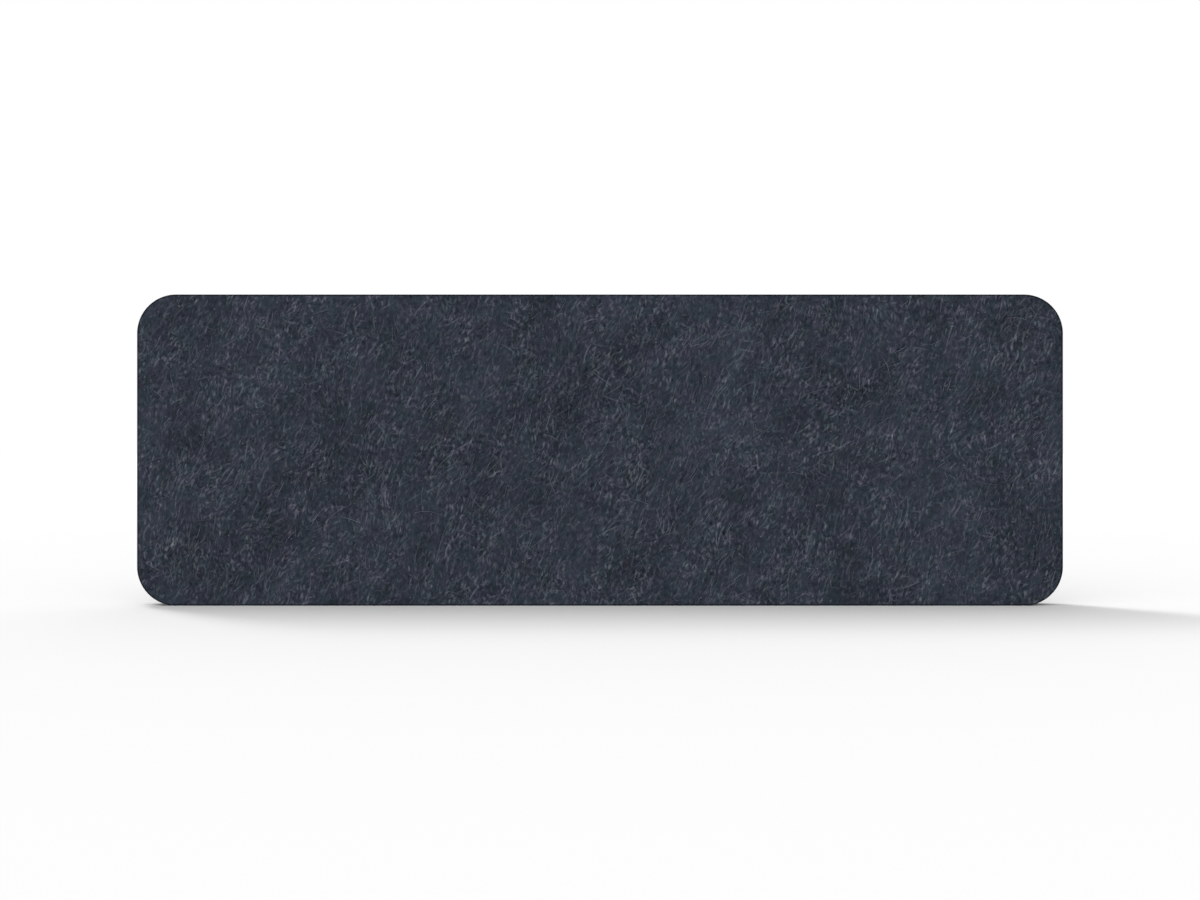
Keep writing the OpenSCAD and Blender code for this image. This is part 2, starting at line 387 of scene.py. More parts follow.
def paintedRimShade(n, look):
    # Painted shade along the outline. A point lies R - |(max(|x| - a, 0), max(|z - c| - b, 0))| inside the
    # outline, a and b being the corner centres' distances from the middle. The shade is darkest at the
    # outline and fades out inwards.
    x, _, z = n.parts(n.millimetres())
    a, b = (screenWidth / 2 - cornerRadius) / mm, (screenHeight / 2 - cornerRadius) / mm
    out = n.math("MAXIMUM", n.math("SUBTRACT", n.math("ABSOLUTE", x), a), 0.0)
    fromMiddle = n.math("ABSOLUTE", n.math("SUBTRACT", z, screenHeight / 2 / mm))
    up = n.math("MAXIMUM", n.math("SUBTRACT", fromMiddle, b), 0.0)
    reach = n.length(n.joined(out, up))
    shade, start, end = look["paintedRim"]
    inside = n.between(n.math("SUBTRACT", cornerRadius / mm, reach), start, end)
    return n.timesPlus(inside, 1 - shade, shade)


def feltMaterial(name, look, way, shift):
    # The face that looks way, with its pattern moved by shift mm and painted shade along its outline
    n = Nodes(name)
    return feltFinish(n, n.onFace(way, shift), look, paintedRimShade(n, look))


# The cut edge shows the felt's layers end on
cutLook = {
    "ground": (0.0180, 0.0215, 0.0295),
    "layers": ((2.6, 0.55, 2.6), 0.9),  # grain in mm along X, Y and Z, and amount
    "clouds": ((7.0, 7.0, 7.0), 0.5),
    "ends": ((0.9, 0.35, 0.9), 0.62, 0.76, 1.6),  # size, noise at which they begin and are full, amount
    "darkest": 0.3,
    "bump": (0.5, 0.3 * mm),
    "rough": 0.97,
}


def cutMaterial(name, look):
    # Tone adds the layers' grain, broad clouds and the pale ends
    n = Nodes(name)
    place = n.millimetres()
    size, amount = look["layers"]
    tone = n.signed(n.grain(place, size, 2, 0.6), amount)
    size, amount = look["clouds"]
    tone = n.math("ADD", tone, n.signed(n.grain(place, size), amount))
    size, low, high, amount = look["ends"]
    ends = n.between(n.grain(place, size, 1), low, high)
    tone = n.timesPlus(ends, amount, tone)
    shade = n.math("MAXIMUM", n.math("ADD", tone, 1.0), look["darkest"])
    colour = n.vector("MULTIPLY", n.joined(shade, shade, shade), look["ground"])
    return n.surface({"Base Color": colour, "Normal": n.bump(tone, *look["bump"]), "Roughness": look["rough"],
                      "Specular IOR Level": feltLook["gloss"], "Sheen Weight": feltLook["sheen"][0]})


frontFelt = feltMaterial("frontFelt", feltLook, -1, 0)
rearFelt = feltMaterial("rearFelt", feltLook, 1, 1730)
cutFelt = cutMaterial("cutFelt", cutLook)

# Face sheets: cut felt with a slightly uneven face and a crisp cut edge
sheetShape = {
    "corner": cornerRadius,
    "columns": 300,
    "cornerRows": 22,
    "middleRows": 70,
    "relief": (0.10 * mm, 0.0),  # of the face and of the glued back
    "waves": [(45 * mm, 0.5), (14 * mm, 0.3), (5 * mm, 0.2)],  # size, and share of the relief
    # the cut edge from the face to the back, each as an inset in mm and a share of the thickness
    "edge": [(0.12, 0.02), (0.0, 0.08), (0.03, 0.30), (0.0, 0.55), (0.04, 0.80), (0.0, 0.93), (0.12, 0.98)],
    "bevel": 0.40,  # mm
    "flatRim": 8 * mm,  # where the relief fades out
    # places in the baking map, each a start and a length
    "room": {"across": (0.01, 0.98), "face": (0.04, 0.46), "back": (0.002, 0.008), "edge": (0.014, 0.02),
             "around": (0.01, 0.97)},
    "otherHalf": 0.48,  # how far up in it the face's right half lies
}


def slabGrid(size, shape, inset):
    # Each row has a turn t round the corner, from 0 to 90 degrees. Its height is R - r cos t, mirrored above
    # the middle, its half width W/2 - R + r sin t, with r = R - inset, and the columns divide it evenly.
    turn = np.linspace(0, math.pi / 2, shape["cornerRows"] + 1)
    middle = np.linspace(0, 1, shape["middleRows"] + 1)[1:-1]
    t = np.concatenate([turn, np.full(len(middle), math.pi / 2), turn[::-1]])
    up = np.concatenate([np.zeros(len(turn)), middle, np.ones(len(turn))])
    big, r = shape["corner"], shape["corner"] - inset
    low = big - r * np.cos(t)
    z = low + up * (size[1] - 2 * low)
    half = size[0] / 2 - big + r * np.sin(t)
    share = np.linspace(-1, 1, shape["columns"] + 1)
    return half[:, None] * share, np.repeat(z[:, None], len(share), 1)


def gridBorder(rows, columns):
    # Indices along a grid's first row, up its last column and back along its last row and first column
    i = np.arange(rows * columns).reshape(rows, columns)
    return np.concatenate([i[0, :-1], i[:-1, -1], i[-1, :0:-1], i[:0:-1, 0]])


def slabRelief(x, z, size, shape, seed):
    # Waves, lumps and pits that fade out over the rim. x is from the slab's middle and z from its foot.
    x0, z0 = x + noiseStart, z + noiseStart
    waves = sum(share * patchNoise(x0, z0, cell, seed + k) for k, (cell, share) in enumerate(shape["waves"]))
    fromEdge = np.minimum(np.minimum(z, size[1] - z), size[0] / 2 - np.abs(x))
    return waves * np.clip(fromEdge / shape["flatRim"], 0, 1)


def slab(name, shape, box, way, seed):
    # A flat piece with rounded corners that fills a box and looks to the front with way -1, to the rear with
    # 1. First come the polygons of its face, then of its back and of the rings of its edge.
    low, high = box
    size = (high[0] - low[0], high[2] - low[2])
    faceY, backY = (low[1], high[1]) if way < 0 else (high[1], low[1])
    x, z = slabGrid(size, shape, shape["bevel"] * mm)
    rows, columns = x.shape
    relief = slabRelief(x, z, size, shape, seed)
    frontY = faceY + way * shape["relief"][0] * relief
    rearY = backY - way * shape["relief"][1] * relief
    border = gridBorder(rows, columns)
    rings = []
    for inset, share in shape["edge"]:
        rx, rz = slabGrid(size, shape, inset * mm)
        ry = np.full(len(border), faceY + share * (backY - faceY))
        rings.append(np.stack([rx.ravel()[border], ry, rz.ravel()[border]], 1))
    grids = [np.stack([x, y, z], 2).reshape(-1, 3) for y in (frontY, rearY)]
    points = np.concatenate(grids + rings) + ((low[0] + high[0]) / 2, 0, low[2])
    n = rows * columns
    edge = [2 * n + k * len(border) + np.arange(len(border)) for k in range(len(rings))]
    chain = [border] + edge + [border + n]
    quads = [gridQuads(rows, columns), gridQuads(rows, columns, n)[:, ::-1]]
    quads += [ringQuads(b, a) for a, b in zip(chain[:-1], chain[1:])]
    return newMesh(name, points, quads)


def sheetMaps(piece, shape):
    # The baking map gives each half of the face half of the square, and the back and the cut edge a narrow
    # band below. The cut edge gets the second material.
    def placed(key, share):
        start, length = shape["room"][key]
        return start + length * share

    across, up = shape["columns"], 2 * shape["cornerRows"] + shape["middleRows"]
    corners = cornerPoints(piece).reshape(-1, 4)
    faces = np.arange(len(corners))[:, None]
    grid, cells = (up + 1) * (across + 1), up * across
    row, column = np.divmod(corners % grid, across + 1)
    half = (faces % across) >= across // 2
    u = placed("across", 2 * column / across - half)
    v = placed("face", row / up) + shape["otherHalf"] * half
    back = (faces >= cells) & (faces < 2 * cells)
    u = np.where(back, placed("across", column / across), u)
    v = np.where(back, placed("back", row / up), v)
    edge = faces >= 2 * cells
    around = 2 * (across + up)
    order = (corners - 2 * grid) % around
    order = np.where((order.max(1, keepdims=True) - order) > around / 2, order + around, order)
    ring = (faces - 2 * cells) // around
    low = np.arange(4) < 2
    u = np.where(edge, placed("around", order / around), u)
    v = np.where(edge, placed("edge", (ring + low) / (len(shape["edge"]) + 1)), v)
    addUv(piece, "OFBake", u, v)
    piece.data.polygons.foreach_set("material_index", edge.ravel().astype(np.int32))


faceSheets = {
    "front_felt": {"way": -1, "finish": frontFelt, "seeds": (11, 111)},  # of the sheet and of its strands
    "rear_felt": {"way": 1, "finish": rearFelt, "seeds": (23, 123)},
}
for node, face in faceSheets.items():
    sheet = slab(node + "_sheet", sheetShape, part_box(node), face["way"], face["seeds"][0])
    sheetMaps(sheet, sheetShape)
    sheet.data.materials.append(face["finish"])
    sheet.data.materials.append(cutFelt)
    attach(sheet, "root")
    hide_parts(node)
print("face sheets made")

# Strands: the coarser fibres that lie loose on each face
strandShape = {
    "count": 4700,  # on each face
    "spare": 1.3,  # laid for each one that is kept
    "rings": 7,
    "length": (9.0, 32.0),  # the shortest and how much longer, in mm
    "radius": (0.15, 0.25),  # mm
    "flat": 0.6,  # height over width
    "rise": (0.05, 0.45),  # mm above the face at the middle
    "sink": 0.25,  # mm below it at the ends
    "lean": (68, 20, 15),  # mean in degrees, its drift over the face, and its spread at one place
    "drift": 0.16,  # size of that drift's patches
    "astray": 0.20,  # share that lies any way
    "bend": 0.28,  # spread of the turn from end to end, in radians
    "wave": 0.10,
    "clump": (0.026, 0.35),  # size of the paler patches, and how pale the strands between them are
    "rare": 2.2,  # the higher, the fewer are pale
    "dark": (0.0193, 0.0232, 0.0328, 1),
    "pale": (0.198, 0.214, 0.275, 1),
    "taper": 0.04,  # how far from zero the sine that thins its ends starts, over pi
    "room": 0.1,  # margin of its cell in the baking map
    "patch": 2.5,  # mm, along which the colour varies
    "uneven": 0.12,
    "rough": 0.75,
    "gloss": 0.2,
    "sheen": 0.05,
    "margin": 2.0 * mm,  # kept free at the outline
}


def strandPaths(shape, random, x, z, seed):
    # The heading at share t of the length is lean + bend (t - 1/2) + wave sin(2 pi t + phase), and the points
    # add up equal steps along it
    count = len(x)
    t = np.linspace(0, 1, shape["rings"])
    mean, drift, spread = shape["lean"]
    lean = mean + drift * patchNoise(x + noiseStart, z + noiseStart, shape["drift"], seed)
    lean = lean + random.normal(0, spread, count)
    lean = np.radians(np.where(random.random(count) < shape["astray"], random.uniform(0, 180, count), lean))
    bend = random.normal(0, shape["bend"], count)
    phase = random.uniform(0, 2 * math.pi, count)
    heading = lean[:, None] + bend[:, None] * (t - 0.5)
    heading = heading + shape["wave"] * np.sin(2 * math.pi * t + phase[:, None])
    short, spread = shape["length"]
    step = mm * (short + spread * random.random(count) ** 2)[:, None] / (shape["rings"] - 1)
    across, up = np.cumsum(np.cos(heading) * step, 1), np.cumsum(np.sin(heading) * step, 1)
    middle = shape["rings"] // 2
    return across - across[:, [middle]], up - up[:, [middle]], heading, t


def strandField(name, shape, sheet, box, way, seeds):
    # Three-sided tubes that thin to their ends and rise by rise sin(pi t), with their ends under the face
    low, high = box
    size = (high[0] - low[0], high[2] - low[2])
    sheetSeed, seed = seeds
    random = np.random.default_rng(seed)
    spare = int(shape["count"] * shape["spare"])
    x, z = random.uniform(-size[0] / 2, size[0] / 2, spare), random.uniform(0, size[1], spare)
    across, up, heading, t = strandPaths(shape, random, x, z, seed + 1)
    x, z = x[:, None] - way * across, z[:, None] + up
    out = np.maximum(np.abs(x) - (size[0] / 2 - sheet["corner"]), 0)
    over = np.maximum(np.abs(z - size[1] / 2) - (size[1] / 2 - sheet["corner"]), 0)
    inside = (sheet["corner"] - np.hypot(out, over)).min(1) > shape["margin"]
    keep = np.nonzero(inside)[0][:shape["count"]]
    x, z, heading = x[keep], z[keep], heading[keep]
    count, rings = len(keep), shape["rings"]
    rise = mm * random.uniform(*shape["rise"], count)[:, None]
    faceY = low[1] if way < 0 else high[1]
    lift = (rise + mm * shape["sink"]) * np.sin(math.pi * t) - mm * shape["sink"]
    y = faceY + way * (sheet["relief"][0] * slabRelief(x, z, size, sheet, sheetSeed) + lift)
    taper = np.sqrt(np.sin(math.pi * (shape["taper"] + (1 - 2 * shape["taper"]) * t)))
    thick = mm * random.uniform(*shape["radius"], count)[:, None] * taper
    side = np.stack([way * np.sin(heading), 0 * heading, np.cos(heading)], 2)
    spine = np.stack([x, y, z], 2) + ((low[0] + high[0]) / 2, 0, low[2])
    ring = []
    for a in np.radians([90, 210, 330]):
        offset = math.cos(a) * side + (0, way * shape["flat"] * math.sin(a), 0)
        ring.append(spine + thick[:, :, None] * offset)
    points = np.stack(ring, 2).reshape(-1, 3)  # strand, ring, corner
    first = (np.arange(count)[:, None, None] * rings + np.arange(rings - 1)[:, None]) * 3
    i, j = first + [0, 1, 2], first + [1, 2, 0]
    quads = np.stack([i, j, j + 3, i + 3], 3).reshape(-1, 4)
    ends = np.arange(count)[:, None] * rings * 3
    caps = np.concatenate([ends + [2, 1, 0], ends + (rings - 1) * 3 + [0, 1, 2]])
    piece = newMesh(name, points, [quads, caps])
    cell, least = shape["clump"]
    patch = 0.5 + 0.5 * patchNoise(x[:, 0] + noiseStart, z[:, 0] + noiseStart, cell, seed + 5)
    tone = random.random(count) ** shape["rare"] * (least + (1 - least) * patch)
    strandMaps(piece, shape, quads.size, tone)
    return piece


def strandMaps(piece, shape, main, tone):
    # Each strand has its own tone, and its own cell in the baking map: its length by its three sides
    rings, margin = shape["rings"], shape["room"]
    layer = piece.data.attributes.new("strandTone", "FLOAT", "POINT")
    layer.data.foreach_set("value", np.repeat(tone, rings * 3).astype(np.float32))
    strand, within = np.divmod(cornerPoints(piece), rings * 3)
    level, corner = np.divmod(within, 3)
    four = corner[:main].reshape(-1, 4)
    corner[:main] += 3 * ((np.ptp(four, 1) == 2)[:, None] & (four == 0)).ravel()
    cells = math.ceil(math.sqrt(len(tone)))
    u = (strand % cells + margin + (1 - 2 * margin) * level / (rings - 1)) / cells
    v = (strand // cells + margin + (1 - 2 * margin) * corner / 3) / cells
    addUv(piece, "OFBake", u, v)


def strandMaterial(name, shape):
    # From dark to pale by the strand's own tone, a little uneven along it
    n = Nodes(name)
    tone = n.add("Attribute", attribute_name="strandTone").outputs["Fac"]
    uneven = n.signed(n.noise(n.millimetres(), 1 / shape["patch"], 1), shape["uneven"])
    colour = n.blend(n.math("ADD", tone, uneven, clamp=True), shape["dark"], shape["pale"])
    return n.surface({"Base Color": colour, "Roughness": shape["rough"],
                      "Specular IOR Level": shape["gloss"], "Sheen Weight": shape["sheen"]})


strandFelt = strandMaterial("strandFelt", strandShape)
for node, face in faceSheets.items():
    way, seeds = face["way"], face["seeds"]
    strands = strandField(node + "_strands", strandShape, sheetShape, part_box(node), way, seeds)
    strands.data.materials.append(strandFelt)
    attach(strands, "root")
print("strands laid")

# Edge band: a felt strip laid round the frame between the sheets, butted underneath and punched over each
# insert
bandShape = {
    "thick": 4 * mm,
    "corner": cornerRadius,
    "joint": (120 * mm, 0.4 * mm),  # where its ends meet, and the gap
    "holeRadius": 4.5 * mm,
    "holeRim": 0.3 * mm,  # columns of the grid that come nearer to its edge stay
    "across": 19,  # points over its width, on the outside and on the inside
    "seam": 0.06 * mm,  # gap to each sheet
    "shoulder": 0.35 * mm,  # worn roundness of its edges
    "crown": 0.08 * mm,  # how far the edges lie below the middle
    "relief": (0.05 * mm, 6 * mm, 71),  # amount, size and seed
    # its sides, each as a share of the thickness and of the turn that rounds the edge
    "side": [(0.05, 0.35), (0.11, 0.7), (0.25, 1.0), (0.5, 1.0), (0.75, 1.0), (0.89, 0.7), (0.96, 0.35)],
    "steps": (6.0 * mm, 2.6 * mm, 1.0 * mm),  # on a straight, round a corner and over a hole
    "fine": (7, 4),  # how many fine steps lie on each side of a hole's middle, and how many in the hole
    "bakeRows": 20,
    "room": (0.005, 0.97, 0.04, 0.02),  # in the baking map: margin, height of all rows, margin in a row, rest
}


def insertPlaces():
    # x of each insert, half the spacing to each side of a bolt pattern's place
    patterns = [m for m in frame["record"]["mounts"] if m["kind"] == "bolt_pattern"]
    return [m["pos_m"][0] + side * m["dims"]["spacing_x_mm"] * mm / 2 for m in patterns for side in (-1, 1)]


def bandStops(shape):
    # The path starts right of the joint and runs counter-clockwise, seen from the front, and its centre of
    # bend and its heading change evenly between these stops
    r, (joint, gap) = shape["corner"], shape["joint"]
    a, low, high = screenWidth / 2 - r, r, screenHeight - r
    quarter = r * math.pi / 2
    start, end = joint + gap / 2, joint - gap / 2
    spans = [a - start, quarter, high - low, quarter, 2 * a, quarter, high - low, quarter, a + end]
    centreX = [start, a, a, a, a, -a, -a, -a, -a, end]
    centreZ = [low, low, low, high, high, high, high, low, low, low]
    heading = np.radians([0, 0, 90, 90, 180, 180, 270, 270, 360, 360])
    return np.concatenate([[0], np.cumsum(spans)]), (centreX, centreZ, heading)


def bandPoints(shape, distance, depth, y):
    # A point lies at the centre of bend + (r - depth) (sin h, -cos h), h being the heading
    stops, values = bandStops(shape)
    x, z, heading = [np.interp(distance, stops, v) for v in values]
    r = shape["corner"] - depth
    return np.stack([x + r * np.sin(heading), y, z - r * np.cos(heading)], -1)


def bandStations(shape):
    # Even steps along each straight and corner, and finer ones over each hole
    stops, _ = bandStops(shape)
    long, short, fine = shape["steps"]
    steps = [np.linspace(a, b, math.ceil((b - a) / (short if k % 2 else long)) + 1)
             for k, (a, b) in enumerate(zip(stops[:-1], stops[1:]))]
    stations = np.unique(np.concatenate(steps).round(7))
    joint, gap = shape["joint"]
    holes = [x - joint - gap / 2 if x > joint else stops[-1] - (joint - gap / 2 - x) for x in insertPlaces()]
    reach = shape["fine"][0]
    for hole in holes:
        far = stations[np.abs(stations - hole) > (reach + 0.4) * fine]
        stations = np.append(far, hole + fine * np.arange(-reach, reach + 1))
    return np.sort(stations), holes


def bandProfile(shape, half):
    # Depth and y round the strip: over the outside, down a side, back over the inside and up a side
    n, lip = shape["across"], half - shape["shoulder"]
    share = np.linspace(-1, 1, n)
    outside = np.stack([shape["crown"] * (0.5 * share ** 4 + share ** 8), share * lip], 1)
    inside = np.stack([np.full(n, shape["thick"]), share[::-1] * lip], 1)
    down, turn = np.array(shape["side"]).T
    rounding = 0.5 - 0.5 * np.cos(turn * math.pi)
    side = np.stack([down * shape["thick"], lip + shape["shoulder"] * rounding], 1)
    return np.concatenate([outside, side, inside, side[::-1] * (1, -1)])


def bandStrip(name, shape, box):
    # The profile carried along the path. The cells over each hole are left out, their border is drawn onto
    # its circle on both faces, and a wall joins the two circles.
    half = (box[1][1] - box[0][1]) / 2 - shape["seam"]
    profile = bandProfile(shape, half)
    stations, holes = bandStations(shape)
    n, count, total = shape["across"], len(profile), len(stations)
    side = count // 2 - n
    s, y = np.meshgrid(stations, profile[:, 1], indexing="ij")
    depth = np.repeat(profile[None, :, 0], total, 0)
    amount, cell, seed = shape["relief"]
    rough = amount * (1 + patchNoise(s, y + 1, cell, seed))
    depth[:, 2:n - 2] += rough[:, 2:n - 2]
    index = np.arange(total * count).reshape(total, count)
    skipped = np.zeros((total - 1, count), bool)
    pairs = []
    columns = np.nonzero(np.abs(profile[:n, 1]) < shape["holeRadius"] - shape["holeRim"])[0]
    j0, j1 = columns[0], columns[-1]
    across = 2 * n + side - 1  # a column j outside lies over the column across - j inside
    within = shape["fine"][1]
    for hole in holes:
        i0 = int(np.argmin(np.abs(stations - hole))) - within
        i1 = i0 + 2 * within
        block = index[i0:i1 + 1, j0:j1 + 1]
        ring = block.ravel()[gridBorder(*block.shape)]
        over = ring // count * count + across - ring % count
        skipped[i0:i1, j0:j1] = skipped[i0:i1, across - j1:across - j0] = True
        ds, dy = s.ravel()[ring] - hole, y.ravel()[ring]
        pull = shape["holeRadius"] / np.hypot(ds, dy)
        for circle in (ring, over):
            s.ravel()[circle] = hole + ds * pull
            y.ravel()[circle] = dy * pull
        pairs.append(ringQuads(ring, over))
    beside = np.roll(index, -1, 1)
    quads = np.stack([index[:-1], beside[:-1], beside[1:], index[1:]], 2)[~skipped]
    j = np.arange(n - 1)
    cap = np.stack([j, j + 1, across - j - 1, across - j], 1)
    sides = [np.arange(n - 1, n + side + 1)[None], np.append(np.arange(across, count), 0)[None]]
    last = (total - 1) * count
    ends = [cap[:, ::-1], cap + last] + [f[:, ::-1] for f in sides] + [f + last for f in sides]
    points = bandPoints(shape, s.ravel(), depth.ravel(), y.ravel())
    points, faces, used = usedOnly(points, [quads] + pairs + ends)
    piece = newMesh(name, points, faces)
    bandMaps(piece, shape, used[cornerPoints(piece)], s, profile, len(quads))
    return piece


def bandMaps(piece, shape, corners, s, profile, main):
    # The pattern's map gives the distance along and round the strip, in metres. The baking map cuts it into
    # rows, with the ends and the holes' walls in a narrow band on top.
    total, count = s.shape
    girth = np.append(0, np.cumsum(np.hypot(*np.diff(np.vstack([profile, profile[:1]]), axis=0).T)))
    i, j = np.divmod(corners, count)
    first = i.copy()
    quads = slice(0, main * 4)
    face = j[quads].reshape(-1, 4)
    wraps = (face.max(1) - face.min(1) > count // 2)[:, None] & (face == 0)
    j[quads] = np.where(wraps, count, face).ravel()
    first[quads] = np.repeat(i[quads].reshape(-1, 4).min(1), 4)
    along = s.ravel()[corners]
    addUv(piece, "strip", along, girth[j])
    rows = shape["bakeRows"]
    per = math.ceil((total - 1) / rows)
    row = first // per
    edge, high, gap, thin = shape["room"]
    around = girth[j] / girth[-1]
    rest = np.arange(len(corners)) >= main * 4
    u = edge + (1 - 2 * edge) * np.where(rest, along / s.max(), (i - row * per) / per)
    v = np.where(rest, high + edge + thin * around, high * (row + gap + (1 - 2 * gap) * around) / rows)
    addUv(piece, "OFBake", u, v)


def bandMaterial(name, look):
    # The same pattern in mm along and round the strip
    n = Nodes(name)
    along = n.vector("MULTIPLY", n.add("UVMap", uv_map="strip").outputs["UV"], (1000, 1000, 1000))
    return feltFinish(n, along, look)


# The strip was cut along the sheet, so that most of its fibres run lengthways, and fewer of them are pale
bandTurn, bandPale = -58, 0.7
bandLook = dict(
    feltLook,
    lean=feltLook["lean"] + bandTurn,
    calm=(0.25, 0.55),
    fibres=[(row[0] + bandTurn,) + row[1:] for row in feltLook["fibres"]],
    strands=[(row[0] + bandTurn,) + row[1:4] + (bandPale * row[4], row[5]) for row in feltLook["strands"]],
)
band = bandStrip("edge_band_strip", bandShape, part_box("edge_band"))
band.data.materials.append(bandMaterial("bandFelt", bandLook))
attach(band, "root")
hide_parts("edge_band")

# Batts: pads of fibre that fill the bays of the frame
battShape = {
    "corner": 7 * mm,
    "columns": 96,
    "cornerRows": 4,
    "middleRows": 84,
    "relief": (0.35 * mm, 0.35 * mm),
    "waves": sheetShape["waves"],
    "edge": [(0.55, 0.03), (0.15, 0.09), (0.35, 0.22), (0.0, 0.36), (0.4, 0.5), (0.05, 0.64), (0.35, 0.78),
             (0.15, 0.91), (0.55, 0.97)],
    "bevel": 1.5,  # mm
    "flatRim": 5 * mm,
    "fluff": 0.4 * mm,  # kept free of the sheets
}
battLook = {
    "ground": (0.40, 0.41, 0.42, 1),
    "deep": (0.22, 0.23, 0.245, 1),
    "pale": (0.60, 0.61, 0.62, 1),
    "fibres": [  # angle, length and width of a cell, width of a fibre in mm, amount
        (12, 22, 3.4, 0.45, 0.55),
        (38, 14, 2.8, 0.40, 0.50),
        (66, 26, 3.8, 0.45, 0.55),
        (97, 16, 3.0, 0.40, 0.50),
        (128, 22, 3.4, 0.45, 0.50),
        (160, 12, 2.6, 0.40, 0.45),
    ],
    "swing": (0.35, 0.9),
    "layers": ((9, 1.1, 9), 3, 0.65),  # size in mm along X, Y and Z, detail and roughness of the grain
    "clouds": (24, 2, 0.6),  # the same, alike along each axis
    "mixed": (0.6, 0.5),  # strength of layers and clouds
    "greying": (0.35, 0.75),  # where in their sum the deep ends and the grey begins
    "face": (6.6, 8.0),  # mm from the middle at which the fibres on the faces begin and are full
    "raised": 3,
    "bump": (0.6, 0.5 * mm),
    "rough": 0.95,
    "gloss": 0.1,
    "sheen": 0.1,
}


def battMaterial(name, look):
    # Grain drawn out along X and Z and broad clouds go from deep to grey, with pale fibres on the two faces
    n = Nodes(name)
    place = n.millimetres()
    layers = n.grain(place, *look["layers"])
    size, detail, rough = look["clouds"]
    clouds = n.noise(place, 1 / size, detail, rough)
    face = n.onFace(-1, 0)
    light, height = 0.0, 0.0
    for k, (*row, amount) in enumerate(look["fibres"]):
        where, red = n.strands(face, *row, look["swing"], (9 * k, 4 * k, 0))
        light = n.timesPlus(where, n.times(n.times(red, red), amount), light)
        if k < look["raised"]:
            height = n.timesPlus(where, red, height)
    onFace = n.between(n.math("ABSOLUTE", n.parts(place)[1]), *look["face"])
    light = n.times(n.math("MINIMUM", light, 1.0), onFace)
    height = n.timesPlus(height, onFace, layers)
    byLayers, byClouds = look["mixed"]
    depth = n.timesPlus(clouds, byClouds, n.times(layers, byLayers))
    colour = n.blend(n.between(depth, *look["greying"]), look["deep"], look["ground"])
    colour = n.blend(light, colour, look["pale"])
    bump = n.bump(height, *look["bump"])
    return n.surface({"Base Color": colour, "Normal": bump, "Roughness": look["rough"],
                      "Specular IOR Level": look["gloss"], "Sheen Weight": look["sheen"]})


battFibre = battMaterial("battFibre", battLook)
battSeeds = {"left_batt": 41, "centre_batt": 48, "right_batt": 55}
for node, seed in battSeeds.items():
    low, high = [list(c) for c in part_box(node)]
    low[1] += battShape["fluff"]
    high[1] -= battShape["fluff"]
    batt = slab(node + "_pad", battShape, (low, high), -1, seed)
    batt.data.materials.append(battFibre)
    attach(batt, "root")
    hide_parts(node)
print("batts filled")

# Wood: the CAD nodes stay and get their finishes
woodLook = {
    "birch": (0.70, 0.53, 0.34, 1),
    "streak": (0.52, 0.36, 0.20, 1),
    "cross": (0.40, 0.27, 0.15, 1),  # the plies seen end on
    "glue": (0.16, 0.09, 0.05, 1),
    "plies": 13,
    "grain": 46,  # how long it is drawn out
    "lengthways": (0.8, 4, 0.6),  # scale, detail and roughness of its noise
    "crossways": (1.6, 3, 0.7),
    "birchGrain": (0.42, 0.70),  # noise at which a streak begins and is full
    "crossGrain": (0.15, 0.70),
    "glueLine": (0.42, 0.48),  # where it begins and is full, as shares of a ply from its middle
    "apart": (137, 61),  # how far apart in mm two pieces are cut, along X and Z
    "drift": (40, 3.0),  # size of the grain's bends and how far it wanders, in mm
    "relief": 0.5,  # of the grain, where the glue's is 1
    "bump": (0.35, 0.2 * mm),
    "rough": (0.48, 0.25),  # least, and how much the grain adds
    "gloss": 0.35,
    "beech": (0.62, 0.41, 0.26, 1),
    "fleck": (0.36, 0.20, 0.11, 1),
    "flecks": (0.9, 0.6, 0.9),  # their size in mm
    "fleckGrain": (0.56, 0.72),
    "clouds": (6, 3, 0.6, 0.35),  # size in mm, detail, roughness and strength
    "beechBump": (0.25, 0.15 * mm),
    "beechRough": 0.55,
}


def plyMaterial(name, look, upright, shift):
    # Plies of equal thickness across Y, with the grain along and across the piece in turn and glue where
    # |fract(layer) - 1/2| nears 1/2. shift takes each piece from another part of the board.
    n = Nodes(name)
    aside, above = look["apart"]
    place = n.vector("ADD", n.millimetres(), (aside * shift, 0, above * shift))
    x, y, z = n.parts(place)
    along, over = (z, x) if upright else (x, z)
    thick = (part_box("bottom_rail")[1][1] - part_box("bottom_rail")[0][1]) / mm
    layer = n.times(n.math("ADD", y, thick / 2), look["plies"] / thick)
    inner = n.math("LESS_THAN", n.math("ABSOLUTE", y), thick / 2 * (1 - 1 / look["plies"]))
    odd = n.math("MODULO", n.math("FLOOR", layer), 2.0)
    size, amount = look["drift"]
    drift = n.signed(n.grain(place, (size,) * 3), amount)
    lengthways = n.joined(n.math("DIVIDE", along, look["grain"]), y, n.math("ADD", over, drift))
    crossways = n.joined(n.math("DIVIDE", over, look["grain"]), y, n.math("ADD", along, drift))
    grain = n.noise(lengthways, *look["lengthways"])
    endGrain = n.noise(crossways, *look["crossways"])
    first = n.blend(n.between(grain, *look["birchGrain"]), look["birch"], look["streak"])
    second = n.blend(n.between(endGrain, *look["crossGrain"]), look["birch"], look["cross"])
    line = n.math("ABSOLUTE", n.math("SUBTRACT", n.math("FRACT", layer), 0.5))
    wood = n.blend(odd, first, second)
    glue = n.times(n.between(line, *look["glueLine"]), inner)
    colour = n.blend(glue, wood, look["glue"])
    height = n.math("SUBTRACT", n.times(grain, look["relief"]), glue)
    bump = n.bump(height, *look["bump"])
    least, more = look["rough"]
    return n.surface({"Base Color": colour, "Normal": bump, "Roughness": n.timesPlus(grain, more, least),
                      "Specular IOR Level": look["gloss"]})


